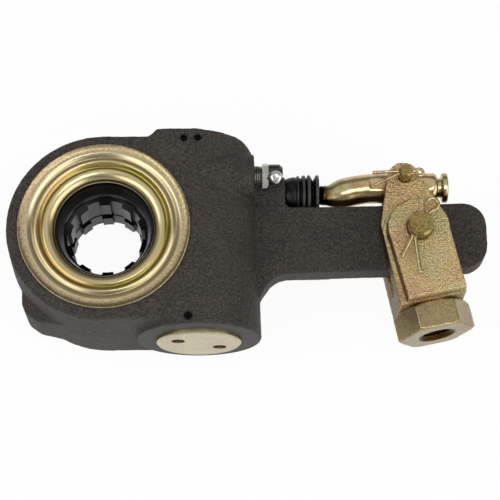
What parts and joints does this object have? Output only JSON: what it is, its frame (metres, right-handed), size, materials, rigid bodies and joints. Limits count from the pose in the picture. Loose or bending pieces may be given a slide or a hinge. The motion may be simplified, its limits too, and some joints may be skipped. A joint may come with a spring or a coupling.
{
  "type": "brake slack adjuster",
  "caption": "Cast brake lever with a worm-driven splined hub, a bellows-sealed adjusting link and a pinned push-rod yoke.",
  "frame": {"origin": "on the spline axis at the housing's mid-thickness", "axes": "+Z along the spline axis towards the front cover ring, +X along the arm towards the yoke, +Y towards the adjusting link's side"},
  "size_m": [0.2352, 0.1099, 0.0628],
  "materials": {
    "cast": "dark coated sand casting",
    "yellow_zinc": "yellow zinc plated steel",
    "black_steel": "black oxide steel",
    "bronze": "machined bearing bronze",
    "rubber": "moulded rubber",
    "bright_steel": "bright machined steel"
  },
  "bodies": {
    "housing": {"housing": "cast", "front_plate": "yellow_zinc", "rear_plate": "yellow_zinc", "front_bush": "bronze", "rear_bush": "bronze", "front_thrust": "bright_steel", "rear_thrust": "bright_steel", "front_seal": "rubber", "rear_seal": "rubber", "lower_bush": "bronze", "upper_bush": "bronze", "worm_plug": "yellow_zinc", "plug_seal": "rubber", "worm_seal": "rubber", "rack_guide": "bronze", "boot": "rubber", "arm_bush": "bronze", "grease_fitting": "bright_steel", "grease_ball": "bright_steel", "plug_pin": "black_steel", "bush_pin_left": "black_steel", "bush_pin_right": "black_steel"},
    "worm_wheel": {"worm_wheel": "black_steel"},
    "worm": {"worm": "bright_steel"},
    "pinion": {"pinion": "bright_steel", "clutch_spring": "bright_steel"},
    "rack": {"rack": "bright_steel"},
    "clevis": {"clevis": "yellow_zinc", "hex_collar": "yellow_zinc", "clevis_pin": "yellow_zinc", "clevis_cotter": "yellow_zinc", "link_pin": "yellow_zinc", "link_cotter": "yellow_zinc"},
    "link": {"link": "yellow_zinc"}
  },
  "joints": [
    {"name": "hub_turn", "type": "hinge", "parent": "housing", "child": "worm_wheel", "pos_m": [0, 0, 0], "axis": [0, 0, 1], "continuous": true},
    {"name": "worm_turn", "type": "hinge", "parent": "housing", "child": "worm", "pos_m": [0.045, 0, 0], "axis": [0, 1, 0], "continuous": true},
    {"name": "yoke_swing", "type": "hinge", "parent": "housing", "child": "clevis", "pos_m": [0.1524, 0, 0], "axis": [0, 0, 1], "range_deg": [-10, 12]},
    {"name": "link_swing", "type": "hinge", "parent": "clevis", "child": "link", "pos_m": [0.1466, 0.02862, 0], "axis": [0, 0, 1], "range_deg": [-14, 12]},
    {"name": "rack_slide", "type": "slide", "parent": "housing", "child": "rack", "axis": [1, 0, 0], "range_m": [-0.0061, 0.0051], "deforming": ["boot"]},
    {"name": "pinion_turn", "type": "hinge", "parent": "housing", "child": "pinion", "pos_m": [0.045, 0, 0], "axis": [0, 1, 0], "range_deg": [-38, 32]}
  ],
  "couplings": [
    {"joint": "worm_turn", "follows": "hub_turn", "ratio": -24},
    {"joint": "link_swing", "follows": "yoke_swing", "ratio": -1.13},
    {"joint": "rack_slide", "follows": "yoke_swing", "m_per_rad": -0.0287},
    {"joint": "pinion_turn", "follows": "yoke_swing", "ratio": -3.1196}
  ]
}
